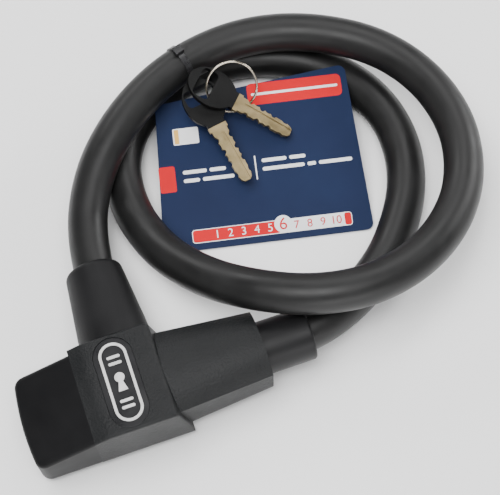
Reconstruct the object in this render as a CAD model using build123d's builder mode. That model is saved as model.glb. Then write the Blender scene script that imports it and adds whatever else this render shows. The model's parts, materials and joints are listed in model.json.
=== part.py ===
from build123d import *
import os
from math import atan2, cos, degrees, radians, sin, sqrt, tan

# Armoured cable lock: a T-shaped head with a key cylinder at one end, a receiver at the
# other and a thick cable fixed into its back.  The cable lies in nearly two turns and comes
# back to the receiver, where its bolt is pushed in.  Two keys on a split ring hang on it.
#
# Frame: millimetres.  The origin is on the resting plane, under the crossing of the bolt
# axis and the fixed cable's axis.  +X runs along the bolt axis from the keyhole to the
# receiver, +Y the way the fixed cable leaves the head, +Z up.  The lock is shown unlocked,
# with the bolt home.

# ---- driving dimensions -------------------------------------------------------------
AXIS_H = 18.0            # height of the bolt axis and of the fixed cable's axis
HEAD_H = 36.5            # top of the housing
HOUSING_LEFT = -23.0     # seam between housing and end cap
HOUSING_RIGHT = 16.5     # top edge of the housing on the receiver's side
FLARE = 6.5              # how far the housing's right wall leans out at its foot
HOUSING_HALF = 24.2      # half width of the housing across Y
EDGE_R = 3.2             # rounding of the housing's top edge on the receiver's side
UNDER_R = 7.0            # rounding of the lower edges
PARTING_Y = -1.5         # where the two housing shells meet
CAP_LENGTH = 28.0
CAP_DROP = 9.0           # how much the cap's top falls towards the keyhole
CAP_STEP = 2.2           # cap top below the housing top at the seam
CAP_NEAR = 24.0
CAP_FAR = 22.0
CAP_BOW = 2.0            # bulge of the cap's end face
MOUTH_X = 65.0           # end face of the receiver
ROOT_HALF = 21.0         # receiver half width at the housing
MOUTH_HALF = 17.0        # receiver half width at its mouth
MOUTH_DOME = 33.4        # receiver top at the mouth
MOUTH_SHOULDER = 25.0    # height of the receiver's side edge at the mouth
WALL = 2.2

CABLE_D = 20.0           # cable over its plastic sheath
COLLAR_BASE_D = 35.4
COLLAR_RIM_D = 28.6
COLLAR_END_Y = 66.5
SLEEVE_D = 26.0          # moulded sleeve on the free end
SLEEVE_END_X = 89.0
SLEEVE_START_X = 59.5

CORE_D = 26.0            # steel lock core
CORE_LEFT = -20.0
CORE_RIGHT = 58.5
BOSS_D = 27.0            # core's branch for the fixed cable
BOSS_END_Y = 32.0
CRIMP_D = 22.0           # steel crimp on the fixed cable end
CRIMP_START_Y = 13.0
CABLE_START_Y = 46.0

BOLT_D = 11.0
BOLT_TIP_X = 6.0
GROOVE_D = 7.6
LATCH_X = 14.2
LATCH_T = 3.8
LATCH_TRAVEL = 3.6       # drop of the latch over a quarter turn of the key
ARM_T = 2.6              # height of the latch's arm below the core's roof

KEY_AXIS_H = 13.0        # key cylinder axis
CYLINDER_D = 20.0
PLUG_D = 11.0
PLUG_FRONT_X = -47.8
KEYWAY_W = 2.4
KEYWAY_H = 8.4
PIN_D = 2.6
PIN_COUNT = 5
PIN_PITCH = 4.4
SHUTTER_X = -49.8
SHUTTER_T = 1.0
WINDOW_R = 4.0

BADGE_X = -3.3
BADGE_W = 19.0
BADGE_L = 45.0
BADGE_DEPTH = 1.0
RING_W = 13.4            # raised ring of the badge
RING_L = 39.5

KEY_BLADE_L = 33.0
KEY_BLADE_W = 8.4
KEY_T = 2.1
BOW_L = 27.0
BOW_W = 21.0
BOW_T = 2.6
BOW_SLOT_L = 16.5
BOW_SLOT_W = 9.0
BOW_SLOT_BACK = 18.0     # slot centre behind the collar
SPLIT_R = 13.2           # mean radius of the split ring
SPLIT_WIRE = 0.9         # height of one turn; the ring has two
SPLIT_WIDTH = 1.3
CARD_W = 109.0
CARD_L = 91.0
CARD_T = 0.6

SLIDE_GAP = 0.2          # clearance of sliding and turning pieces, on the radius
SEAT_GAP = 0.15          # clearance of pieces that are seated and don't move

os.makedirs("parts", exist_ok=True)


def save(part, name):
    part.label = name
    export_step(part, "parts/" + name + ".step")


def pill(length, width):
    """Pill outline, long across Y, for the sketch that is open."""
    SlotOverall(length, width, rotation=90)


# ---- outer form of the head -----------------------------------------------------------
def housing_block():
    """Block of the T's centre: soft shoulder towards the cap, leaning wall towards the receiver."""
    with BuildSketch(Plane.XZ) as side_view:
        with BuildLine():
            left_top = (HOUSING_LEFT, HEAD_H - CAP_STEP)
            shoulder = (HOUSING_LEFT + 9, HEAD_H)
            right_top = (HOUSING_RIGHT, HEAD_H)
            foot = (HOUSING_RIGHT + FLARE, 7.0)
            Spline(left_top, shoulder, tangents=[(1, 0.25), (1, 0)])
            Polyline(shoulder, right_top, foot, (foot[0], 0), (HOUSING_LEFT, 0), left_top)
        make_face()
    extrude(side_view.sketch, amount=HOUSING_HALF, both=True)


def receiver_section(x, half, shoulder, dome, under):
    """Section of the receiver: domed top, upright sides, rounded belly."""
    with BuildSketch(Plane.YZ.offset(x)) as section:
        with BuildLine():
            ThreePointArc((-half, shoulder), (0, dome), (half, shoulder))
            Line((half, shoulder), (half, under + 11))
            Spline((half, under + 11), (half - 9, under), tangents=[(0, -1), (-1, 0)])
            Line((half - 9, under), (-half + 9, under))
            Spline((-half + 9, under), (-half, under + 11), tangents=[(-1, 0), (0, 1)])
            Line((-half, under + 11), (-half, shoulder))
        make_face()
    return section.sketch


def head_form():
    """Housing and receiver as one solid, for the part that is open."""
    housing_block()
    top_edge = edges().filter_by(Axis.Y).group_by(Axis.Z)[-1].sort_by(Axis.X)[-1]
    fillet(top_edge, EDGE_R)
    lower = edges().filter_by(Axis.X).group_by(Axis.Z)[0]
    fillet(lower, UNDER_R)
    rim = faces().sort_by(Axis.Z)[-1].edges().filter_by(Axis.X)
    fillet(rim, 1.2)
    root = receiver_section(HOUSING_RIGHT - 2, ROOT_HALF, MOUTH_SHOULDER + 4, HEAD_H - 1.5, 0.6)
    mouth = receiver_section(MOUTH_X, MOUTH_HALF, MOUTH_SHOULDER, MOUTH_DOME, 1.6)
    loft([root, mouth])


def along_x(x0, x1, d, z=AXIS_H, mode=Mode.ADD):
    """Round bar or bore along X at height z, for the part that is open."""
    with BuildSketch(Plane.YZ.offset(x0)) as disc:
        with Locations((0, z)):
            Circle(d / 2)
    extrude(disc.sketch, amount=x1 - x0, mode=mode)


def along_y(y0, y1, d, mode=Mode.ADD):
    """Round bar or bore along Y on the fixed cable's axis, for the part that is open."""
    with BuildSketch(Plane.XZ.offset(-y0)) as disc:
        with Locations((0, AXIS_H)):
            Circle(d / 2)
    extrude(disc.sketch, amount=-(y1 - y0), mode=mode)


def box_cut(x0, x1, y0, y1, z0, z1, mode=Mode.SUBTRACT):
    with Locations(((x0 + x1) / 2, (y0 + y1) / 2, (z0 + z1) / 2)):
        Box(x1 - x0, y1 - y0, z1 - z0, mode=mode)


SCREW_PLACES = [(6, 8.2), (6, -8.2), (41, 8.2), (41, -8.2)]
SCREW_HEAD_D = 5.0
SCREW_D = 3.0
SCREW_TOP = 12.0
SCREW_SEAT = 4.0


def head_cavities():
    """Everything that is cut out of the two shells."""
    along_x(HOUSING_LEFT - 1, CORE_RIGHT + SEAT_GAP, CORE_D + 2 * SEAT_GAP, mode=Mode.SUBTRACT)
    along_x(CORE_RIGHT, MOUTH_X + 1, SLEEVE_D + 2 * SLIDE_GAP, mode=Mode.SUBTRACT)
    along_y(0, HOUSING_HALF + 1, BOSS_D + 2 * SEAT_GAP, mode=Mode.SUBTRACT)
    along_x(HOUSING_LEFT - 1, CORE_LEFT, CYLINDER_D + 2 * SEAT_GAP, KEY_AXIS_H, Mode.SUBTRACT)
    with BuildSketch(Plane.XY.offset(HEAD_H)) as recess:
        with Locations((BADGE_X, 0)):
            pill(BADGE_L, BADGE_W)
    extrude(recess.sketch, amount=-BADGE_DEPTH, mode=Mode.SUBTRACT)
    for x, y in SCREW_PLACES:
        with Locations((x, y, SCREW_SEAT / 2)):
            Cylinder(SCREW_HEAD_D / 2 + SEAT_GAP, SCREW_SEAT, mode=Mode.SUBTRACT)
        with Locations((x, y, SCREW_TOP / 2)):
            Cylinder(SCREW_D / 2 + SEAT_GAP, SCREW_TOP, mode=Mode.SUBTRACT)


# ---- shells, cap, collar ---------------------------------------------------------------
with BuildPart() as shell_far:
    head_form()
    head_cavities()
    split(bisect_by=Plane.XZ.offset(-PARTING_Y), keep=Keep.BOTTOM)
save(shell_far.part, "shell_far")

with BuildPart() as shell_near:
    head_form()
    head_cavities()
    split(bisect_by=Plane.XZ.offset(-PARTING_Y), keep=Keep.TOP)
save(shell_near.part, "shell_near")

CAP_TOP = HEAD_H - CAP_STEP
CAP_END = HOUSING_LEFT - CAP_LENGTH
CAP_MID_Y = (CAP_FAR - CAP_NEAR) / 2
SHUTTER_PIVOT_H = KEY_AXIS_H + 7.5
RIB_TOP = 25.0
RIB_HALF = 3.6

with BuildPart() as end_cap:
    with BuildSketch(Plane.XY):
        with BuildLine():
            Polyline((CAP_END, -CAP_NEAR), (HOUSING_LEFT, -CAP_NEAR), (HOUSING_LEFT, CAP_FAR), (CAP_END, CAP_FAR))
            ThreePointArc((CAP_END, CAP_FAR), (CAP_END - CAP_BOW, CAP_MID_Y), (CAP_END, -CAP_NEAR))
        make_face()
    extrude(amount=CAP_TOP)
    with BuildSketch(Plane.XZ.offset(-40)):
        with BuildLine():
            Polyline((CAP_END - 9, CAP_TOP - CAP_DROP * (CAP_LENGTH + 9) / CAP_LENGTH), (HOUSING_LEFT, CAP_TOP),
                     (HOUSING_LEFT, CAP_TOP + 20), (CAP_END - 9, CAP_TOP + 20), close=True)
        make_face()
    extrude(amount=80, mode=Mode.SUBTRACT)
    fillet(edges().filter_by(Axis.X).group_by(Axis.Z)[0], UNDER_R)
    fillet(faces().sort_by(Axis.X)[0].edges().group_by(Axis.Z)[0], 5.0)
    fillet(faces().filter_by(GeomType.CYLINDER).sort_by(Axis.X)[0].edges().group_by(Axis.Z)[-1], 2.4)
    along_x(PLUG_FRONT_X - SEAT_GAP, HOUSING_LEFT, CYLINDER_D + 2 * SEAT_GAP, KEY_AXIS_H, Mode.SUBTRACT)
    box_cut(-44.6, HOUSING_LEFT, -RIB_HALF - SEAT_GAP, RIB_HALF + SEAT_GAP, KEY_AXIS_H, RIB_TOP + SEAT_GAP)
    along_x(CAP_END - CAP_BOW - 1, PLUG_FRONT_X, 2 * WINDOW_R, KEY_AXIS_H, Mode.SUBTRACT)
    with BuildSketch(Plane.YZ.offset(SHUTTER_X - 0.2)):
        with BuildLine():
            CenterArc((0, SHUTTER_PIVOT_H), 2.7, 0, 360)
            for swing in (0, 25, 50, 75):
                arm = SHUTTER_PIVOT_H - KEY_AXIS_H
                here = (arm * sin(radians(swing)), SHUTTER_PIVOT_H - arm * cos(radians(swing)))
                CenterArc(here, WINDOW_R + 1.1, 0, 360)
        make_hull()
    extrude(amount=SHUTTER_T + 0.4, mode=Mode.SUBTRACT)
    with Locations(Location((SHUTTER_X - 1.0, 0, SHUTTER_PIVOT_H), (0, 90, 0))):
        Cylinder(0.8, 5.0, mode=Mode.SUBTRACT)
    with Locations((-36, 0, 2.4)):
        Cylinder(1.25 + SEAT_GAP, 4.8, mode=Mode.SUBTRACT)
save(end_cap.part, "end_cap")

with BuildPart() as cable_collar:
    with BuildSketch(Plane.XY.offset(AXIS_H)):
        with BuildLine():
            base = (COLLAR_BASE_D / 2, HOUSING_HALF + 0.05)
            rim = (COLLAR_RIM_D / 2, COLLAR_END_Y - 3.0)
            rim_top = (COLLAR_RIM_D / 2 - 2.6, COLLAR_END_Y)
            bore_top = (CABLE_D / 2 + SEAT_GAP, COLLAR_END_Y)
            crimp_top = (CABLE_D / 2 + SEAT_GAP, CABLE_START_Y)
            Line(base, (COLLAR_BASE_D / 2 - 0.4, HOUSING_HALF + 8))
            Line((COLLAR_BASE_D / 2 - 0.4, HOUSING_HALF + 8), rim)
            Spline(rim, rim_top, tangents=[(-0.1, 1), (-1, 0.15)])
            Polyline(rim_top, bore_top, crimp_top, (CRIMP_D / 2 + SEAT_GAP, CABLE_START_Y),
                     (CRIMP_D / 2 + SEAT_GAP, BOSS_END_Y + SEAT_GAP),
                     (BOSS_D / 2 + SEAT_GAP, BOSS_END_Y + SEAT_GAP), (BOSS_D / 2 + SEAT_GAP, HOUSING_HALF + 0.05), base)
        make_face()
    revolve(axis=Axis((0, 0, AXIS_H), (0, 1, 0)))
save(cable_collar.part, "cable_collar")

# ---- badge: a plain pictogram of a keyhole between bars ----------------------------------
BADGE_FLOOR = HEAD_H - BADGE_DEPTH

with BuildPart() as badge_base:
    with BuildSketch(Plane.XY.offset(BADGE_FLOOR)):
        with Locations((BADGE_X, 0)):
            pill(BADGE_L - 2 * SEAT_GAP, BADGE_W - 2 * SEAT_GAP)
    extrude(amount=BADGE_DEPTH - 0.3)
save(badge_base.part, "badge_base")

BADGE_FACE = HEAD_H - 0.3

with BuildPart() as badge_ring:
    with BuildSketch(Plane.XY.offset(BADGE_FACE)):
        with Locations((BADGE_X, 0)):
            pill(RING_L, RING_W)
            SlotOverall(RING_L - 2.8, RING_W - 2.8, rotation=90, mode=Mode.SUBTRACT)
    extrude(amount=0.7)
save(badge_ring.part, "badge_ring")

with BuildPart() as badge_emblem:
    with BuildSketch(Plane.XY.offset(BADGE_FACE)):
        with Locations((BADGE_X, 2.2)):
            Circle(2.4)
        with Locations((BADGE_X, -1.6)):
            Trapezoid(4.6, 6.0, 75)
        with Locations((BADGE_X, 9.4), (BADGE_X, 12.6), (BADGE_X, -9.4), (BADGE_X, -12.6)):
            SlotOverall(6.4, 1.5)
    extrude(amount=0.6)
save(badge_emblem.part, "badge_emblem")

# ---- steel core and what it holds ---------------------------------------------------------
LATCH_R = CORE_D / 2 - 0.4
ARM_Z1 = AXIS_H + LATCH_R
ARM_Z0 = ARM_Z1 - ARM_T
CHAMBER_X1 = -13.4
LUG_X0 = -16.8
LUG_X1 = -14.6

with BuildPart() as lock_core:
    along_x(CORE_LEFT, CORE_RIGHT, CORE_D)
    along_y(0, BOSS_END_Y, BOSS_D)
    along_x(BOLT_TIP_X - 2, CORE_RIGHT, BOLT_D + 2 * SLIDE_GAP, mode=Mode.SUBTRACT)
    along_x(CORE_RIGHT - 5.6, CORE_RIGHT, 20.0, mode=Mode.SUBTRACT)
    along_y(CRIMP_START_Y - SEAT_GAP, BOSS_END_Y, CRIMP_D + 2 * SEAT_GAP, mode=Mode.SUBTRACT)
    box_cut(CORE_LEFT, CHAMBER_X1, -7.2, 7.2, 7.4, 25.4)
    box_cut(CORE_LEFT, LATCH_X, -3.3, 3.3, ARM_Z0 - LATCH_TRAVEL - 0.3, AXIS_H + CORE_D / 2 + 1)
    box_cut(LATCH_X - SLIDE_GAP, LATCH_X + LATCH_T + SLIDE_GAP, -8.8, 8.8, AXIS_H - 13, AXIS_H + 14)
    with Locations((0, 20, AXIS_H)):
        Cylinder(2.5 + SEAT_GAP, 26, mode=Mode.SUBTRACT)
    for x, y in SCREW_PLACES:
        with Locations((x, y, SCREW_TOP / 2)):
            Cylinder(SCREW_D / 2 + SEAT_GAP, SCREW_TOP + 0.4, mode=Mode.SUBTRACT)
save(lock_core.part, "lock_core")

with BuildPart() as mouth_bush:
    along_x(CORE_RIGHT - 5.4, CORE_RIGHT, 20.0 - 2 * SEAT_GAP)
    along_x(CORE_RIGHT - 5.4, CORE_RIGHT, BOLT_D + 2 * SLIDE_GAP, mode=Mode.SUBTRACT)
save(mouth_bush.part, "mouth_bush")

with BuildPart() as fixed_crimp:
    along_y(CRIMP_START_Y, CABLE_START_Y, CRIMP_D)
    with Locations((0, 20, AXIS_H)):
        Cylinder(2.5 + SEAT_GAP, 26, mode=Mode.SUBTRACT)
save(fixed_crimp.part, "fixed_crimp")

with BuildPart() as anchor_pin:
    with Locations((0, 20, AXIS_H)):
        Cylinder(2.5, 25.0)
    chamfer(edges().filter_by(GeomType.CIRCLE), 0.5)
save(anchor_pin.part, "anchor_pin")

with BuildPart() as shell_screws:
    for x, y in SCREW_PLACES:
        with Locations((x, y, SCREW_SEAT - 1.25)):
            Cylinder(SCREW_HEAD_D / 2, 2.4)
        with Locations((x, y, (SCREW_SEAT + SCREW_TOP) / 2 - 0.2)):
            Cylinder(SCREW_D / 2, SCREW_TOP - SCREW_SEAT)
    with BuildSketch(Plane.XY.offset(SCREW_SEAT - 2.5)):
        with Locations(*SCREW_PLACES):
            RegularPolygon(1.3, 6)
    extrude(amount=1.3, mode=Mode.SUBTRACT)
save(shell_screws.part, "shell_screws")

# ---- key cylinder --------------------------------------------------------------------------
PIN_X = [PLUG_FRONT_X + 6.0 + i * PIN_PITCH for i in range(PIN_COUNT)]
SHEAR_H = KEY_AXIS_H + PLUG_D / 2
CYLINDER_BACK = CORE_LEFT - 0.2

with BuildPart() as cylinder_body:
    along_x(PLUG_FRONT_X, CYLINDER_BACK, CYLINDER_D, KEY_AXIS_H)
    box_cut(-44.4, HOUSING_LEFT + 0.5, -RIB_HALF, RIB_HALF, KEY_AXIS_H, RIB_TOP, Mode.ADD)
    along_x(PLUG_FRONT_X - 1, CYLINDER_BACK + 1, PLUG_D + 2 * 0.08, KEY_AXIS_H, Mode.SUBTRACT)
    for x in PIN_X:
        with Locations((x, 0, (SHEAR_H + RIB_TOP) / 2)):
            Cylinder(PIN_D / 2 + 0.08, RIB_TOP - SHEAR_H + 1.0, mode=Mode.SUBTRACT)
    box_cut(PIN_X[0] - 2.2, PIN_X[-1] + 2.2, -2.2, 2.2, RIB_TOP - 0.9, RIB_TOP + 1)
    with Locations((-36, 0, 4)):
        Cylinder(1.25 + SEAT_GAP, 4.0, mode=Mode.SUBTRACT)
save(cylinder_body.part, "cylinder_body")

with BuildPart() as driver_pins:
    for x in PIN_X:
        with Locations((x, 0, SHEAR_H + 0.25 + 1.2)):
            Cylinder(PIN_D / 2, 2.4)
save(driver_pins.part, "driver_pins")

SPRING_FOOT = SHEAR_H + 0.25 + 2.4 + 0.05
SPRING_TOP = RIB_TOP - 0.95

with BuildPart() as pin_springs:
    for x in PIN_X:
        with Locations((x, 0, (SPRING_FOOT + SPRING_TOP) / 2)):
            Cylinder(PIN_D / 2 - 0.15, SPRING_TOP - SPRING_FOOT)
            Cylinder(PIN_D / 2 - 0.6, SPRING_TOP - SPRING_FOOT, mode=Mode.SUBTRACT)
save(pin_springs.part, "pin_springs")

with BuildPart() as pin_cover:
    box_cut(PIN_X[0] - 2.1, PIN_X[-1] + 2.1, -2.1, 2.1, RIB_TOP - 0.9, RIB_TOP - 0.05, Mode.ADD)
save(pin_cover.part, "pin_cover")

with BuildPart() as cap_pin:
    with Locations((-36, 0, 3.3)):
        Cylinder(1.25, 5.0)
save(cap_pin.part, "cap_pin")

with BuildPart() as key_plug:
    along_x(PLUG_FRONT_X + 0.1, CYLINDER_BACK - 0.1, PLUG_D, KEY_AXIS_H)
    keyway_foot = KEY_AXIS_H - PLUG_D / 2 + 0.9
    box_cut(PLUG_FRONT_X, CYLINDER_BACK - 4, -KEYWAY_W / 2, KEYWAY_W / 2, keyway_foot, keyway_foot + KEYWAY_H)
    for x in PIN_X:
        with Locations((x, 0, SHEAR_H - 1.5)):
            Cylinder(PIN_D / 2 + 0.08, 6.0, mode=Mode.SUBTRACT)
save(key_plug.part, "key_plug")

PIN_LENGTHS = [2.6, 3.6, 3.0, 4.0, 3.2]

with BuildPart() as key_pins:
    for x, length in zip(PIN_X, PIN_LENGTHS):
        top = SHEAR_H - 0.3
        with Locations((x, 0, top - length / 2)):
            Cylinder(PIN_D / 2, length)
save(key_pins.part, "key_pins")

CAM_PIN_R = LATCH_TRAVEL
CAM_PIN_D = 2.6

with BuildPart() as drive_cam:
    along_x(CYLINDER_BACK - 0.1, -17.6, PLUG_D - 0.6, KEY_AXIS_H)
    along_x(-17.6, LUG_X1 + 0.6, CAM_PIN_D, KEY_AXIS_H + CAM_PIN_R)
save(drive_cam.part, "drive_cam")

with BuildPart() as latch_slide:
    with BuildSketch(Plane.YZ.offset(LATCH_X)):
        with Locations((0, AXIS_H)):
            Circle(LATCH_R)
        with Locations((0, AXIS_H + LATCH_TRAVEL)):
            Circle(LATCH_R, mode=Mode.INTERSECT)
        with Locations((0, AXIS_H)):
            Rectangle(17.0, 40, mode=Mode.INTERSECT)
            Circle(BOLT_D / 2 + 0.4, mode=Mode.SUBTRACT)
        with Locations((0, AXIS_H + LATCH_TRAVEL)):
            Circle(GROOVE_D / 2 + 0.3, mode=Mode.SUBTRACT)
    extrude(amount=LATCH_T)
    box_cut(LUG_X0, LATCH_X + LATCH_T, -3.0, 3.0, ARM_Z0, ARM_Z1 - 0.45, Mode.ADD)
    box_cut(LUG_X0, LUG_X1, -3.0, 3.0, 24.0, ARM_Z0, Mode.ADD)
    box_cut(LUG_X0, LUG_X1, -6.6, 6.6, 12.6, 24.6, Mode.ADD)
    slot_mid = KEY_AXIS_H + CAM_PIN_R
    box_cut(LUG_X0 - 1, LUG_X1 + 1, -2.2, 5.6, slot_mid - 2.4, slot_mid + 2.4)
save(latch_slide.part, "latch_slide")

with BuildPart() as keyhole_shutter:
    with BuildSketch(Plane.YZ.offset(SHUTTER_X)):
        with Locations((0, KEY_AXIS_H)):
            Circle(WINDOW_R + 0.6)
        with Locations((0, SHUTTER_PIVOT_H)):
            Circle(2.2)
        with Locations((0, (KEY_AXIS_H + SHUTTER_PIVOT_H) / 2)):
            Rectangle(3.2, 6.0)
        with Locations((0, SHUTTER_PIVOT_H)):
            Circle(0.95, mode=Mode.SUBTRACT)
    extrude(amount=SHUTTER_T)
save(keyhole_shutter.part, "keyhole_shutter")

with BuildPart() as shutter_pin:
    along_x(SHUTTER_X - 1.0, SHUTTER_X + SHUTTER_T + 0.5, 1.5, SHUTTER_PIVOT_H)
save(shutter_pin.part, "shutter_pin")

# ---- free end: bolt, crimp, sleeve -----------------------------------------------------------
FLANGE_X = 60.0
CRIMP_X0 = 62.0
CRIMP_X1 = 74.0
CABLE_END_X = 64.0

with BuildPart() as bolt_pin:
    along_x(BOLT_TIP_X, FLANGE_X, BOLT_D)
    chamfer(faces().sort_by(Axis.X)[0].edges(), 1.6)
    along_x(FLANGE_X, CRIMP_X0, 20.6)
    with BuildSketch(Plane.YZ.offset(LATCH_X - 0.5)):
        with Locations((0, AXIS_H)):
            Circle(BOLT_D)
            Circle(GROOVE_D / 2, mode=Mode.SUBTRACT)
    extrude(amount=LATCH_T + 1.0, mode=Mode.SUBTRACT)
    with BuildSketch(Plane.YZ.offset(48.0)):
        with Locations((0, AXIS_H)):
            Circle(BOLT_D)
            Circle(BOLT_D / 2 - 1.6, mode=Mode.SUBTRACT)
    extrude(amount=2.2, mode=Mode.SUBTRACT)
save(bolt_pin.part, "bolt_pin")

with BuildPart() as bolt_seal:
    with Locations(Location((49.1, 0, AXIS_H), (0, 90, 0))):
        Torus(BOLT_D / 2 - 0.8, 0.75)
save(bolt_seal.part, "bolt_seal")

with BuildPart() as end_crimp:
    along_x(CRIMP_X0, CRIMP_X1, CRIMP_D + 0.4)
    along_x(CABLE_END_X, CRIMP_X1, CABLE_D + 2 * SEAT_GAP, mode=Mode.SUBTRACT)
save(end_crimp.part, "end_crimp")

with BuildPart() as end_sleeve:
    with BuildSketch(Plane.XZ):
        with BuildLine():
            outer = SLEEVE_D / 2
            Polyline((SLEEVE_START_X, AXIS_H + 5.9), (SLEEVE_START_X, AXIS_H + outer - 0.8),
                     (SLEEVE_START_X + 0.8, AXIS_H + outer), (SLEEVE_END_X - 0.9, AXIS_H + outer - 0.1),
                     (SLEEVE_END_X, AXIS_H + outer - 0.7), (SLEEVE_END_X, AXIS_H + 11.7), (76.5, AXIS_H + 11.5),
                     (CRIMP_X1 + 0.2, AXIS_H + 10.3), (CRIMP_X1 + 0.2, AXIS_H + 11.4), (FLANGE_X - 0.1, AXIS_H + 11.4),
                     (FLANGE_X - 0.1, AXIS_H + 5.9), close=True)
        make_face()
    revolve(axis=Axis((0, 0, AXIS_H), (1, 0, 0)))
save(end_sleeve.part, "end_sleeve")

# ---- the cable: chosen route, straight runs joined by arcs ------------------------------------
LAY_H = CABLE_D / 2 + 0.05
ROUTE = [
    (0, CABLE_START_Y, AXIS_H), (0, 80, 18), (13, 112, 24.5), (34, 134.5, 30.5), (62, 153.5, 31.5),
    (91, 163, 31), (120, 164, 30.5), (150, 154, 31), (178.5, 134.5, 30), (195.5, 105.5, 29),
    (198.5, 71.5, 29), (185.5, 38.5, 30), (158.5, 14.5, 34), (126, 5, 37), (96, 8.5, 39),
    (70, 22, 36), (49.5, 41.5, 26.5), (34, 69, 14.5), (27, 99.5, 11), (31.5, 129, LAY_H),
    (50.5, 153, LAY_H), (80, 165.5, LAY_H), (113, 165, LAY_H), (143.5, 152, LAY_H), (165.5, 128.5, LAY_H),
    (174.5, 97.5, LAY_H), (168.5, 64, LAY_H), (148.5, 34.5, LAY_H), (127.5, 17, 12), (107.5, 6, 15.5),
    (86, 0, AXIS_H), (CABLE_END_X, 0, AXIS_H),
]


def corner_radii(points):
    """Largest arc that each corner's two runs allow, kept at 0.45 of the shorter run."""
    radii = []
    for before, here, after in zip(points, points[1:], points[2:]):
        arriving = Vector(*here) - Vector(*before)
        leaving = Vector(*after) - Vector(*here)
        turn = arriving.get_angle(leaving)
        shorter = min(arriving.length, leaving.length)
        radii.append(0.45 * shorter / tan(radians(turn / 2)))
    return radii


RADII = corner_radii(ROUTE)
print("cable radii", [round(r) for r in RADII])

with BuildPart() as cable:
    with BuildLine() as cable_path:
        FilletPolyline(*ROUTE, radius=RADII)
    start_plane = Plane(ROUTE[0], z_dir=Vector(*ROUTE[1]) - Vector(*ROUTE[0]))
    with BuildSketch(start_plane):
        Circle(CABLE_D / 2)
    sweep(path=cable_path.wires()[0])
CABLE_LENGTH = cable_path.wires()[0].length
print("cable length", round(CABLE_LENGTH, 1))
print("volume against section times length", round(cable.part.volume / (3.14159265 * CABLE_D ** 2 / 4 * CABLE_LENGTH), 4))
save(cable.part, "cable")

# ---- strap, split ring, keys ---------------------------------------------------------------------
STRAP_RUN = (Vector(*ROUTE[4]), Vector(*ROUTE[5]))
STRAP_CENTRE = (STRAP_RUN[0] + STRAP_RUN[1]) / 2
STRAP_AXIS = (STRAP_RUN[1] - STRAP_RUN[0]).normalized()
STRAP_GAP = 0.12
STRAP_T = 0.55
STRAP_W = 3.4
strap_plane = Plane(STRAP_CENTRE, x_dir=(-STRAP_AXIS.Y, STRAP_AXIS.X, 0), z_dir=STRAP_AXIS)

with BuildPart() as key_strap:
    with BuildSketch(strap_plane):
        Circle(CABLE_D / 2 + STRAP_GAP + STRAP_T)
        Circle(CABLE_D / 2 + STRAP_GAP, mode=Mode.SUBTRACT)
    extrude(amount=STRAP_W / 2, both=True)
    with BuildSketch(strap_plane):
        with Locations((1.5, CABLE_D / 2 + STRAP_GAP + 1.4)):
            RectangleRounded(4.6, 2.6, 0.5)
    extrude(amount=2.4, both=True)
save(key_strap.part, "key_strap")

RING_CENTRE = Vector(97.2, 137.0, 30.3)
RING_AXIS = Vector(-0.079, -0.737, 0.672)
ring_plane = Plane(RING_CENTRE, z_dir=RING_AXIS)

with BuildPart() as split_ring:
    with BuildSketch(ring_plane):
        Circle(SPLIT_R + SPLIT_WIDTH / 2)
        Circle(SPLIT_R - SPLIT_WIDTH / 2, mode=Mode.SUBTRACT)
    extrude(amount=SPLIT_WIRE)
    with BuildSketch(ring_plane):
        Circle(SPLIT_R + SPLIT_WIDTH / 2)
        Circle(SPLIT_R - SPLIT_WIDTH / 2, mode=Mode.SUBTRACT)
    extrude(amount=-SPLIT_WIRE)
save(split_ring.part, "split_ring")


def key_plane(collar, tip, roll):
    """Plane of a key: origin at the collar, X along the blade, rolled from level by an angle."""
    along = (Vector(*tip) - Vector(*collar)).normalized()
    lateral = Vector(-along.Y, along.X, 0).normalized()
    level = Plane(collar, x_dir=along, z_dir=along.cross(lateral))
    return level.rotated((roll, 0, 0))


CUT_STEP = 3.4
CUT_DEPTHS = [1.2, 0.5, 1.6, 0.9, 1.4, 0.6, 1.1]


def key_blade_outline():
    """Blade with cuts along both edges and a blunt tip, and the tang that the bow is moulded round."""
    half = KEY_BLADE_W / 2
    start = 7.0
    upper = [(-9.0, 3.0), (0.0, 3.0), (0.0, half + 0.9), (2.6, half + 0.9), (2.6, half), (start - 1.4, half)]
    for i, depth in enumerate(CUT_DEPTHS):
        x = start + i * CUT_STEP
        upper.append((x, half - depth))
        upper.append((x + 1.2, half - depth))
        upper.append((x + 2.1, half - 0.15 - 0.08 * i))
    upper.append((KEY_BLADE_L - 1.2, half - 1.4))
    upper.append((KEY_BLADE_L, 1.6))
    lower = [(x, -y) for x, y in reversed(upper)]
    return upper + lower


def make_blade(plane):
    with BuildSketch(plane.offset(-KEY_T / 2)) as outline:
        Polygon(*key_blade_outline(), align=None)
    extrude(outline.sketch, amount=KEY_T)
    for side in (1, -1):
        with BuildSketch(plane.offset(side * KEY_T / 2)) as groove:
            with Locations((KEY_BLADE_L / 2 + 3, side * 1.1)):
                Rectangle(KEY_BLADE_L - 4.0, 1.3)
        extrude(groove.sketch, amount=-side * 0.6, mode=Mode.SUBTRACT)


def make_bow(plane):
    with BuildSketch(plane.offset(-BOW_T / 2)) as outline:
        with Locations((-BOW_L / 2 - 0.4, 0)):
            Ellipse(BOW_L / 2, BOW_W / 2)
        with Locations((-3.0, 0)):
            Rectangle(6.0, KEY_BLADE_W + 1.4)
        with Locations((-BOW_SLOT_BACK, 0)):
            RectangleRounded(BOW_SLOT_W, BOW_SLOT_L, 2.4, mode=Mode.SUBTRACT)
    extrude(outline.sketch, amount=BOW_T)
    with BuildSketch(plane.offset(-KEY_T / 2 - 0.02)) as pocket:
        with Locations((-4.6, 0)):
            Rectangle(9.2, 6.1)
    extrude(pocket.sketch, amount=KEY_T + 0.04, mode=Mode.SUBTRACT)


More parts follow.
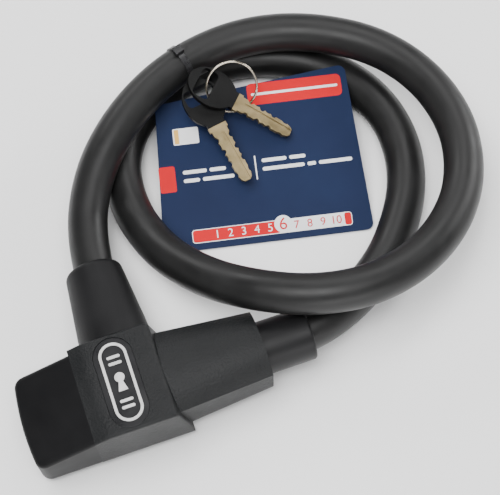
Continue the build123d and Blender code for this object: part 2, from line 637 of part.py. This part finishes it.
KEY_1_PLANE = key_plane((96.2, 128.6, 28.9), (118.8, 107.9, 16.7), 0.0)
KEY_2_PLANE = key_plane((83.2, 120.6, 25.2), (89.2, 89.7, 15.3), -2.2)

with BuildPart() as key_1_blade:
    make_blade(KEY_1_PLANE)
save(key_1_blade.part, "key_1_blade")

with BuildPart() as key_1_bow:
    make_bow(KEY_1_PLANE)
save(key_1_bow.part, "key_1_bow")

with BuildPart() as key_2_blade:
    make_blade(KEY_2_PLANE)
save(key_2_blade.part, "key_2_blade")

with BuildPart() as key_2_bow:
    make_bow(KEY_2_PLANE)
save(key_2_bow.part, "key_2_bow")

# ---- printed card that hangs inside the loop --------------------------------------------------------
CARD_CORNER = Vector(37.0, 71.6, 0.4)
CARD_TILT = 12.7
CARD_TURN = -12.2
card_x = Vector(cos(radians(CARD_TURN)), sin(radians(CARD_TURN)), 0)
card_y = Vector(-sin(radians(CARD_TURN)) * cos(radians(CARD_TILT)),
                cos(radians(CARD_TURN)) * cos(radians(CARD_TILT)), sin(radians(CARD_TILT)))
card_plane = Plane(CARD_CORNER, x_dir=card_x, z_dir=card_x.cross(card_y))

with BuildPart() as hang_card:
    with BuildSketch(card_plane):
        Polygon((0, 0), (CARD_W, 0), (CARD_W - 3, CARD_L), (4, CARD_L - 11), align=None)
        fillet(vertices(), 4.0)
    extrude(amount=CARD_T)
save(hang_card.part, "hang_card")
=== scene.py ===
import json
import math

import bmesh
import bpy
from mathutils import Matrix, Vector

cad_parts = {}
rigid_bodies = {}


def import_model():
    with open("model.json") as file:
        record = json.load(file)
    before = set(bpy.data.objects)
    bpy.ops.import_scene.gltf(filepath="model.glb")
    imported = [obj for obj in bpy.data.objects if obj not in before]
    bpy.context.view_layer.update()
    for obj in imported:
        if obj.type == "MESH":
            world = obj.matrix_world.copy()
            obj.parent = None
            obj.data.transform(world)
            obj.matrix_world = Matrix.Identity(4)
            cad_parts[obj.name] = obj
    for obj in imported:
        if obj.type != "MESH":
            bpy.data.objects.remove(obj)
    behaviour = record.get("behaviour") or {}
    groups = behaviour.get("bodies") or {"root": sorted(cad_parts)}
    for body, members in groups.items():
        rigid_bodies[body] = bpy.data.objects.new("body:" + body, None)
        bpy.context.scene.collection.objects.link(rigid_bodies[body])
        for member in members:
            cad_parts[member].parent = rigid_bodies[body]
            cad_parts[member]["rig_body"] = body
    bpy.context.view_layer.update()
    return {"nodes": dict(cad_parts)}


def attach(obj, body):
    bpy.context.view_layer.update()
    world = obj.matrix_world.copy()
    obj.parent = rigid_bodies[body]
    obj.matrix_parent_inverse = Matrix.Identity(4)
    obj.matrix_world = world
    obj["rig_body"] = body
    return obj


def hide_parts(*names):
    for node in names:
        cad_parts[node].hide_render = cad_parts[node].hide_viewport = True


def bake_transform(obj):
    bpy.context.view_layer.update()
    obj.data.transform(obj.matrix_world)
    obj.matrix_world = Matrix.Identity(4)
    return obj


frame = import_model()
MM = 0.001

# Viewing point: high above the table, a little to the keyhole's side, with a long lens so
# that the two turns of the cable keep their size from front to back.
camera_data = bpy.data.cameras.new("camera")
camera_data.lens = 90.0
camera_data.sensor_width = 36.0
camera = bpy.data.objects.new("camera", camera_data)
view_right = Vector((0.94370, -0.33002, -0.02273))
view_up = Vector((0.30764, 0.85027, 0.42708))
view_back = view_right.cross(view_up)
turn = Matrix((view_right, view_up, view_back)).transposed().to_4x4()
camera.matrix_world = Matrix.Translation((0.001774, -0.202545, 0.580048)) @ turn
bpy.context.scene.collection.objects.link(camera)
bpy.context.scene.camera = camera

# Cable: steel strands in armour rings under a matt black vinyl sheath, 20 mm over all.
# It is moulded into the head at one end and lies in nearly two turns back to the receiver.
CABLE_D = 0.020
cable_route = [
    (0, 46, 18), (0, 80, 18), (13, 112, 24.5), (34, 134.5, 30.5), (62, 153.5, 31.5),
    (91, 163, 31), (120, 164, 30.5), (150, 154, 31), (178.5, 134.5, 30), (195.5, 105.5, 29),
    (198.5, 71.5, 29), (185.5, 38.5, 30), (158.5, 14.5, 34), (126, 5, 37), (96, 8.5, 39),
    (70, 22, 36), (49.5, 41.5, 26.5), (34, 69, 14.5), (27, 99.5, 11), (31.5, 129, 10.05),
    (50.5, 153, 10.05), (80, 165.5, 10.05), (113, 165, 10.05), (143.5, 152, 10.05), (165.5, 128.5, 10.05),
    (174.5, 97.5, 10.05), (168.5, 64, 10.05), (148.5, 34.5, 10.05), (127.5, 17, 12), (107.5, 6, 15.5),
    (86, 0, 18), (64, 0, 18),
]


def cable_curve(name, bevel):
    curve = bpy.data.curves.new(name, "CURVE")
    curve.dimensions = "3D"
    curve.resolution_u = 12
    curve.bevel_depth = bevel
    curve.bevel_resolution = 10
    curve.use_fill_caps = bevel > 0
    spline = curve.splines.new("NURBS")
    spline.points.add(len(cable_route) - 1)
    for point, place in zip(spline.points, cable_route):
        point.co = (place[0] * MM, place[1] * MM, place[2] * MM, 1.0)
    spline.order_u = 3
    spline.use_endpoint_u = True
    return curve


def curve_mesh(name, bevel):
    holder = bpy.data.objects.new(name + "_curve", cable_curve(name + "_curve", bevel))
    bpy.context.scene.collection.objects.link(holder)
    bpy.context.view_layer.update()
    mesh = bpy.data.meshes.new_from_object(holder)
    bpy.data.objects.remove(holder)
    mesh.name = name
    return mesh


def add_piece(name, mesh):
    piece = bpy.data.objects.new(name, mesh)
    bpy.context.scene.collection.objects.link(piece)
    return piece


def surface(name, colour, rough, specular=0.5, metallic=0.0):
    """Material with its node tree, shader and Object coordinates, ready for its own pattern."""
    material = bpy.data.materials.new(name)
    material.use_nodes = True
    nodes = material.node_tree.nodes
    shader = nodes["Principled BSDF"]
    shader.inputs["Base Color"].default_value = (*colour, 1)
    shader.inputs["Roughness"].default_value = rough
    shader.inputs["Specular IOR Level"].default_value = specular
    shader.inputs["Metallic"].default_value = metallic
    coords = nodes.new("ShaderNodeTexCoord")
    return material, nodes, material.node_tree.links, shader, coords


def grain(parts, scale, depth, distance=0.0002):
    """Moulded grain: fine noise through a bump."""
    material, nodes, links, shader, coords = parts
    noise = nodes.new("ShaderNodeTexNoise")
    noise.inputs["Scale"].default_value = scale
    noise.inputs["Detail"].default_value = 4.0
    bump = nodes.new("ShaderNodeBump")
    bump.inputs["Strength"].default_value = depth
    bump.inputs["Distance"].default_value = distance
    links.new(coords.outputs["Object"], noise.inputs["Vector"])
    links.new(noise.outputs["Fac"], bump.inputs["Height"])
    links.new(bump.outputs["Normal"], shader.inputs["Normal"])
    return noise


def mottle(parts, scale, colours, roughs, stretch=(1, 1, 1)):
    """Slow change of colour and gloss over the surface, as handling and moulding leave it."""
    material, nodes, links, shader, coords = parts
    mapping = nodes.new("ShaderNodeMapping")
    mapping.inputs["Scale"].default_value = stretch
    noise = nodes.new("ShaderNodeTexNoise")
    noise.inputs["Scale"].default_value = scale
    noise.inputs["Detail"].default_value = 6.0
    noise.inputs["Roughness"].default_value = 0.6
    ramp = nodes.new("ShaderNodeValToRGB")
    ramp.color_ramp.elements[0].position = 0.35
    ramp.color_ramp.elements[1].position = 0.68
    ramp.color_ramp.elements[0].color = (*colours[0], 1)
    ramp.color_ramp.elements[1].color = (*colours[1], 1)
    gloss = nodes.new("ShaderNodeMapRange")
    gloss.inputs["From Min"].default_value = 0.35
    gloss.inputs["From Max"].default_value = 0.68
    gloss.inputs["To Min"].default_value = roughs[0]
    gloss.inputs["To Max"].default_value = roughs[1]
    links.new(coords.outputs["Object"], mapping.inputs["Vector"])
    links.new(mapping.outputs["Vector"], noise.inputs["Vector"])
    links.new(noise.outputs["Fac"], ramp.inputs["Fac"])
    links.new(noise.outputs["Fac"], gloss.inputs["Value"])
    links.new(ramp.outputs["Color"], shader.inputs["Base Color"])
    links.new(gloss.outputs["Result"], shader.inputs["Roughness"])


sheath = surface("sheath_vinyl", (0.008, 0.008, 0.008), 0.42, specular=0.42)
mottle(sheath, 60.0, ((0.006, 0.006, 0.006), (0.010, 0.010, 0.010)), (0.38, 0.5))
grain(sheath, 1800.0, 0.16)

centreline = curve_mesh("cable_line", 0.0)
cable = add_piece("cable_sheath", curve_mesh("cable_sheath", CABLE_D / 2))
cable.data.materials.clear()
cable.data.materials.append(sheath[0])
for polygon in cable.data.polygons:
    polygon.use_smooth = True
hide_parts("cable")
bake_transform(cable)


# Head: two shells of glass-filled black plastic, screwed together from below, with a fine
# spark-eroded grain.
def softened(node, name, width, material, smooth=True):
    """Copy of a moulded part with its sharp edges broken, standing for that part."""
    mesh = frame["nodes"][node].data.copy()
    mesh.name = name
    shape = bmesh.new()
    shape.from_mesh(mesh)
    bmesh.ops.remove_doubles(shape, verts=shape.verts, dist=2e-6)
    bmesh.ops.dissolve_limit(shape, angle_limit=0.002, verts=shape.verts, edges=shape.edges)
    shape.to_mesh(mesh)
    shape.free()
    mesh.materials.clear()
    mesh.materials.append(material)
    piece = add_piece(name, mesh)
    for polygon in mesh.polygons:
        polygon.use_smooth = smooth
    if width:
        bevel = piece.modifiers.new("broken_edges", "BEVEL")
        bevel.width = width
        bevel.segments = 2
        bevel.limit_method = "ANGLE"
        bevel.angle_limit = math.radians(32)
        bevel.harden_normals = False
    shading = piece.modifiers.new("even_shading", "WEIGHTED_NORMAL")
    shading.weight = 60
    shading.keep_sharp = True
    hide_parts(node)
    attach(piece, frame["nodes"][node]["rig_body"])
    return piece


def dress(node, material):
    """Gives a part that stays as it is its finish."""
    data = frame["nodes"][node].data
    data.materials.clear()
    data.materials.append(material)


housing = surface("housing_plastic", (0.008, 0.008, 0.0088), 0.5, specular=0.32)
mottle(housing, 35.0, ((0.006, 0.0065, 0.007), (0.010, 0.0105, 0.011)), (0.44, 0.56))
grain(housing, 900.0, 0.75, 0.0005)
softened("shell_far", "head_shell_far", 0.00035, housing[0])
softened("shell_near", "head_shell_near", 0.00035, housing[0])

# End cap: a smoother black moulding over the key cylinder, closed by a pin from below.
cap = surface("cap_plastic", (0.004, 0.004, 0.0045), 0.5, specular=0.22)
mottle(cap, 25.0, ((0.004, 0.004, 0.0045), (0.007, 0.007, 0.0075)), (0.44, 0.56))
grain(cap, 2200.0, 0.12)
softened("end_cap", "head_end_cap", 0.0004, cap[0])

# Collar: tapered strain relief moulded round the fixed end of the cable.
collar = surface("collar_plastic", (0.006, 0.006, 0.0065), 0.5, specular=0.24)
mottle(collar, 40.0, ((0.005, 0.005, 0.0055), (0.008, 0.008, 0.0085)), (0.46, 0.56))
grain(collar, 2400.0, 0.25)
softened("cable_collar", "head_collar", 0.0003, collar[0])

# Badge: gloss black inlay with a raised silver ring and a plain keyhole pictogram.
badge = surface("badge_black", (0.012, 0.012, 0.013), 0.3)
mottle(badge, 90.0, ((0.010, 0.010, 0.011), (0.015, 0.015, 0.016)), (0.26, 0.36))
softened("badge_base", "badge_inlay", 0.00015, badge[0])
silver = surface("badge_silver", (0.62, 0.62, 0.61), 0.42, metallic=0.35)
mottle(silver, 160.0, ((0.56, 0.56, 0.55), (0.68, 0.68, 0.67)), (0.36, 0.5))
grain(silver, 1500.0, 0.12)
softened("badge_ring", "badge_raised_ring", 0.0002, silver[0])
softened("badge_emblem", "badge_pictogram", 0.00015, silver[0])

# Free end: a moulded sleeve round the crimp, the hardened bolt and its rubber seal, with
# the steel and brass pieces inside the head, which take the same finishes.
sleeve = surface("sleeve_plastic", (0.006, 0.006, 0.0065), 0.46, specular=0.3)
mottle(sleeve, 45.0, ((0.005, 0.005, 0.0055), (0.008, 0.008, 0.0085)), (0.42, 0.54))
grain(sleeve, 1800.0, 0.15)
softened("end_sleeve", "free_end_sleeve", 0.0003, sleeve[0])
steel = surface("turned_steel", (0.55, 0.55, 0.56), 0.3, metallic=1.0)
mottle(steel, 120.0, ((0.48, 0.48, 0.49), (0.6, 0.6, 0.61)), (0.22, 0.38), stretch=(0.1, 1, 1))
brass = surface("turned_brass", (0.72, 0.55, 0.26), 0.3, metallic=1.0)
mottle(brass, 120.0, ((0.62, 0.46, 0.2), (0.76, 0.6, 0.3)), (0.24, 0.4))
rubber = surface("seal_rubber", (0.012, 0.012, 0.012), 0.6)
grain(rubber, 1500.0, 0.2)
for node in ("lock_core", "mouth_bush", "anchor_pin", "fixed_crimp", "shell_screws", "pin_springs", "cap_pin",
             "shutter_pin", "drive_cam", "latch_slide", "keyhole_shutter", "bolt_pin", "end_crimp"):
    dress(node, steel[0])
for node in ("cylinder_body", "driver_pins", "pin_cover", "key_plug", "key_pins"):
    dress(node, brass[0])
dress("bolt_seal", rubber[0])

# Strap: a narrow black nylon tie round the upper turn, with its small locking head.
nylon = surface("strap_nylon", (0.014, 0.014, 0.015), 0.28)
mottle(nylon, 200.0, ((0.011, 0.011, 0.012), (0.018, 0.018, 0.019)), (0.22, 0.34))
softened("key_strap", "strap_band", 0.0002, nylon[0])

# Split ring: spring steel wire of flat section wound twice, 28 mm outside.
RING_CENTRE = Vector((97.2, 137.0, 30.3)) * MM
RING_AXIS = Vector((-0.079, -0.737, 0.672)).normalized()
RING_R = 13.2 * MM
WIRE_W = 1.2 * MM
WIRE_H = 0.82 * MM
bright = surface("ring_steel", (0.58, 0.52, 0.42), 0.22, metallic=1.0)
mottle(bright, 300.0, ((0.50, 0.45, 0.36), (0.66, 0.6, 0.5)), (0.16, 0.3))
coil = bmesh.new()
wire = bmesh.ops.create_circle(coil, cap_ends=True, segments=12, radius=0.5)
bmesh.ops.scale(coil, vec=(WIRE_W, WIRE_H, 1), verts=coil.verts)
bmesh.ops.rotate(coil, cent=(0, 0, 0), matrix=Matrix.Rotation(math.radians(90), 3, "X"), verts=coil.verts)
bmesh.ops.translate(coil, vec=(RING_R, 0, -WIRE_H / 2 - 0.02 * MM), verts=coil.verts)
TURN_STEPS = 160
TURN_ANGLE = math.radians(700)
WIRE_GAP = 0.04 * MM
bmesh.ops.spin(coil, geom=coil.faces[:] + coil.edges[:] + coil.verts[:], cent=(0, 0, 0), axis=(0, 0, 1),
               dvec=(0, 0, (WIRE_H + WIRE_GAP) / TURN_STEPS), angle=TURN_ANGLE, steps=TURN_STEPS)
bmesh.ops.remove_doubles(coil, verts=coil.verts, dist=1e-7)
bmesh.ops.recalc_face_normals(coil, faces=coil.faces)
ring_place = Matrix.Translation(RING_CENTRE) @ RING_AXIS.to_track_quat("Z", "Y").to_matrix().to_4x4()
bmesh.ops.transform(coil, matrix=ring_place, verts=coil.verts)
coil_mesh = bpy.data.meshes.new("split_ring_wire")
coil.to_mesh(coil_mesh)
coil.free()
coil_mesh.materials.append(bright[0])
for polygon in coil_mesh.polygons:
    polygon.use_smooth = True
ring = add_piece("split_ring_wire", coil_mesh)
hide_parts("split_ring")
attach(ring, "key_ring")

# Keys: milled nickel silver blades with a black bow moulded round each tang.
key_metal = surface("key_metal", (0.36, 0.28, 0.145), 0.36, specular=0.3, metallic=0.85)
mottle(key_metal, 140.0, ((0.31, 0.24, 0.12), (0.42, 0.33, 0.18)), (0.30, 0.46))
grain(key_metal, 900.0, 0.1)
bow_plastic = surface("bow_plastic", (0.004, 0.004, 0.004), 0.46, specular=0.18)
mottle(bow_plastic, 70.0, ((0.003, 0.003, 0.003), (0.006, 0.006, 0.006)), (0.42, 0.54))
grain(bow_plastic, 2000.0, 0.2)
for number in ("1", "2"):
    softened("key_" + number + "_blade", "key_" + number + "_milled_blade", 0.0002, key_metal[0])
    softened("key_" + number + "_bow", "key_" + number + "_moulded_bow", 0.0006, bow_plastic[0])

# Card: stiff coated board that hangs inside the loop, printed navy with plain coloured
# fields and bars and a scale from 1 to 10.
navy = surface("card_navy", (0.009, 0.017, 0.050), 0.5, specular=0.12)
mottle(navy, 18.0, ((0.008, 0.015, 0.045), (0.012, 0.021, 0.058)), (0.46, 0.58))
grain(navy, 1200.0, 0.05)
dress("hang_card", navy[0])
CARD_T = 0.6
card_place = (Matrix.Translation((37.0 * MM, 71.6 * MM, 0.4 * MM))
              @ Matrix.Rotation(math.radians(-12.2), 4, "Z") @ Matrix.Rotation(math.radians(12.7), 4, "X"))


def ink(name, colour):
    parts = surface(name, colour, 0.5, specular=0.15)
    darker = tuple(c * 0.92 for c in colour)
    mottle(parts, 60.0, (darker, colour), (0.36, 0.46))
    return parts[0]


white_ink = ink("ink_white", (0.82, 0.83, 0.84))
red_ink = ink("ink_red", (0.56, 0.005, 0.012))
gold_ink = ink("ink_gold", (0.75, 0.45, 0.12))


def printed(name, outline, material, lift):
    """Flat printed field on the card from its corner points, in millimetres from the card's corner."""
    field = bmesh.new()
    corners = [field.verts.new((x * MM, y * MM, (CARD_T + lift) * MM)) for x, y in outline]
    field.faces.new(corners)
    bmesh.ops.recalc_face_normals(field, faces=field.faces)
    if field.faces[:][0].normal.z < 0:
        bmesh.ops.reverse_faces(field, faces=field.faces[:])
    bmesh.ops.transform(field, matrix=card_place, verts=field.verts)
    mesh = bpy.data.meshes.new(name)
    field.to_mesh(mesh)
    field.free()
    mesh.materials.append(material)
    piece = add_piece(name, mesh)
    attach(piece, "head")
    return piece


def rounded(x0, y0, x1, y1, r):
    """Rounded rectangle as points, counter-clockwise."""
    points = []
    for cx, cy, start in ((x1 - r, y1 - r, 0), (x0 + r, y1 - r, 90),
                         (x0 + r, y0 + r, 180), (x1 - r, y0 + r, 270)):
        for step in range(7):
            a = math.radians(start + step * 15)
            points.append((cx + r * math.cos(a), cy + r * math.sin(a)))
    return points


printed("card_scale_bar", rounded(15.5, 3.5, 98.5, 10.7, 1.6), white_ink, 0.03)
printed("card_scale_red", rounded(15.9, 3.9, 61.0, 10.3, 1.3), red_ink, 0.05)
printed("card_scale_end", rounded(94.6, 3.9, 98.1, 10.3, 1.0), red_ink, 0.05)
printed("card_tab", rounded(2.0, 32.0, 10.5, 46.0, 1.2), red_ink, 0.03)
printed("card_band", rounded(53.0, 74.0, 103.0, 86.0, 2.5), red_ink, 0.03)
printed("card_band_line", rounded(55.0, 79.2, 101.0, 80.6, 0.6), white_ink, 0.05)
printed("card_label", rounded(11.5, 57.0, 25.0, 66.0, 0.8), white_ink, 0.03)
printed("card_label_stripe", rounded(12.2, 57.6, 14.6, 65.4, 0.3), gold_ink, 0.05)
printed("card_rule", rounded(52.2, 33.5, 52.9, 46.5, 0.3), white_ink, 0.03)
BARS = ((14.5, 27.0, 41.8), (28.5, 37.0, 41.8), (14.5, 23.0, 37.2), (24.5, 41.0, 37.2),
        (56.0, 69.0, 43.4), (70.5, 79.0, 43.4), (56.0, 78.0, 38.8), (79.5, 84.0, 38.8),
        (85.5, 103.0, 38.8))
BAR_HALF = 1.0
for row, (start, end, height) in enumerate(BARS):
    bar = rounded(start, height - BAR_HALF, end, height + BAR_HALF, 0.9)
    printed("card_field_" + str(row + 1), bar, white_ink, 0.03)
DISC_X = 62.7
DISC_Y = 8.4
DISC_R = 4.6
disc = [(DISC_X + DISC_R * math.cos(math.radians(a)), DISC_Y + DISC_R * math.sin(math.radians(a)))
        for a in range(0, 360, 10)]
printed("card_disc", disc, white_ink, 0.08)


def numeral(text, x, y, size, material, lift):
    body = bpy.data.curves.new("numeral_" + text, "FONT")
    body.body = text
    body.size = size * MM
    body.align_x = "CENTER"
    body.align_y = "CENTER"
    holder = bpy.data.objects.new("numeral_holder", body)
    bpy.context.scene.collection.objects.link(holder)
    bpy.context.view_layer.update()
    mesh = bpy.data.meshes.new_from_object(holder)
    bpy.data.objects.remove(holder)
    mesh.name = "card_numeral_" + text
    mesh.transform(card_place @ Matrix.Translation((x * MM, y * MM, (CARD_T + lift) * MM)))
    mesh.materials.clear()
    mesh.materials.append(material)
    piece = add_piece("card_numeral_" + text, mesh)
    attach(piece, "head")


FIRST_X = 28.5
NUMERAL_STEP = 6.85
MARKED = 6
for count in range(1, 11):
    place = FIRST_X + (count - 1) * NUMERAL_STEP
    if count == MARKED:
        numeral(str(count), DISC_X, 8.2, 9.0, red_ink, 0.12)
    else:
        numeral(str(count), place, 7.0, 6.0, white_ink if count < MARKED else red_ink, 0.1)

# Table and light: a pale matt table under a bright low sky, a broad fill from above and
# five soft lights that draw the highlights on the cable and the head.
floor_mesh = bpy.data.meshes.new("table_top")
table = bmesh.new()
bmesh.ops.create_grid(table, x_segments=4, y_segments=4, size=3.0)
table.to_mesh(floor_mesh)
table.free()
table_finish = surface("table_white", (0.86, 0.86, 0.86), 0.6)
mottle(table_finish, 3.0, ((0.85, 0.85, 0.85), (0.88, 0.88, 0.88)), (0.55, 0.65))
floor_mesh.materials.append(table_finish[0])
add_piece("table_top", floor_mesh)

world = bpy.data.worlds.new("studio")
bpy.context.scene.world = world
world.use_nodes = True
sky_nodes = world.node_tree.nodes
sky_links = world.node_tree.links
direction = sky_nodes.new("ShaderNodeTexCoord")
split = sky_nodes.new("ShaderNodeSeparateXYZ")
fade = sky_nodes.new("ShaderNodeValToRGB")
fade.color_ramp.elements[0].position = 0.0
fade.color_ramp.elements[0].color = (1.0, 1.0, 1.0, 1)
fade.color_ramp.elements[1].position = 0.75
fade.color_ramp.elements[1].color = (0.10, 0.10, 0.11, 1)
sky_links.new(direction.outputs["Generated"], split.inputs["Vector"])
sky_links.new(split.outputs["Z"], fade.inputs["Fac"])
sky_links.new(fade.outputs["Color"], sky_nodes["Background"].inputs["Color"])
sky_nodes["Background"].inputs["Strength"].default_value = 0.8


def softbox(name, place, target, width, height, power, gloss):
    light = bpy.data.lights.new(name, "AREA")
    light.shape = "RECTANGLE"
    light.size = width
    light.size_y = height
    light.energy = power
    lamp = bpy.data.objects.new(name, light)
    lamp.location = place
    lamp.rotation_euler = (Vector(target) - Vector(place)).to_track_quat("-Z", "Y").to_euler()
    lamp.visible_glossy = gloss
    bpy.context.scene.collection.objects.link(lamp)


LIGHTS = (
    ("fill_light", (-0.3, 0.2, 1.3), (0.07, 0.06, 0), 0.9, 0.9, 22, False),
    ("front_light", (0.1, -1.0, 0.3), (0.07, 0.0, 0), 0.9, 0.3, 4, True),
    ("over_light", (0.0, -0.25, 1.05), (0.08, 0.06, 0), 0.7, 0.5, 9, True),
    ("right_light", (1.0, 0.25, 0.45), (0.1, 0.06, 0), 0.5, 0.4, 5, True),
    ("roof_light", (0.34, 0.46, 0.66), (0.12, 0.08, 0), 0.34, 0.42, 1.7, True),
    ("back_light", (-0.1, 0.85, 0.62), (0.06, 0.15, 0), 0.4, 0.2, 2.2, True),
)
for light_row in LIGHTS:
    softbox(*light_row)
